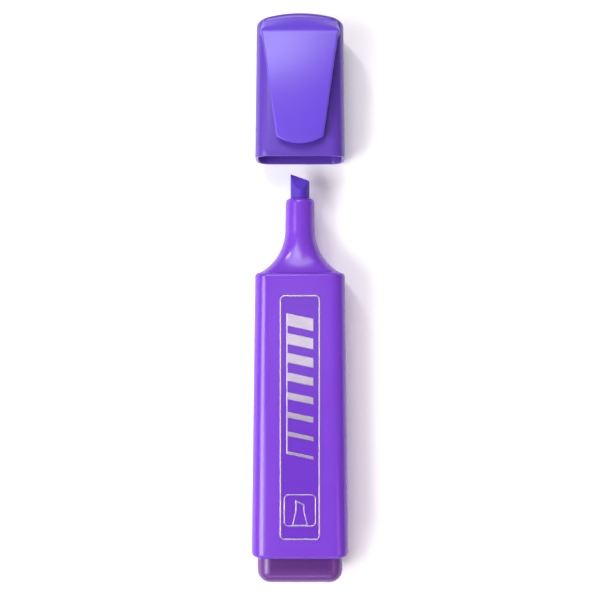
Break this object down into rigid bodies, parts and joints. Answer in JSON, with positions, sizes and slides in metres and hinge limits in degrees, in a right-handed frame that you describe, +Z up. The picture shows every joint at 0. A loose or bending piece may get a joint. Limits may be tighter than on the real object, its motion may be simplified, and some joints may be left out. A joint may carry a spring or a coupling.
{
  "type": "chisel highlighter",
  "caption": "Flat plastic highlighter with a slanted felt nib, a translucent tail plug and a push-on cap with a clip, lying with its cap pulled off.",
  "frame": {"origin": "centre of the barrel's flat back face, on the surface the pen lies on", "axes": "+Y from the tail plug to the nib and cap, +X across the barrel, +Z up out of the marked front face"},
  "size_m": [0.027, 0.1573, 0.019],
  "materials": {
    "casing_plastic": "moulded polypropylene, satin gloss",
    "tail_plastic": "translucent polypropylene",
    "felt": "pressed polyester felt soaked in violet ink",
    "fibre": "bonded polyester fibre soaked in violet ink",
    "film": "thin clear film",
    "cap_plastic": "translucent frosted polypropylene",
    "foil": "hot-stamped bright silver foil"
  },
  "bodies": {
    "pen": {"barrel": "casing_plastic", "tail_plug": "tail_plastic", "nib": "felt", "ink_reservoir": "fibre", "reservoir_film": "film", "foil_frame": "foil", "foil_bars": "foil", "foil_pictogram": "foil"},
    "cap": {"cap_shell": "cap_plastic", "inner_cap": "cap_plastic"},
    "clip": {"cap_clip": "cap_plastic"}
  },
  "joints": [
    {"name": "cap_slide", "type": "slide", "parent": "pen", "child": "cap", "axis": [0, -1, 0], "range_m": [0, 0.03185]},
    {"name": "clip_flex", "type": "hinge", "parent": "cap", "child": "clip", "pos_m": [0, 0.1014, 0.0188], "axis": [-1, 0, 0], "range_deg": [0, 4], "stiffness_Nm_per_rad": 0.05}
  ]
}
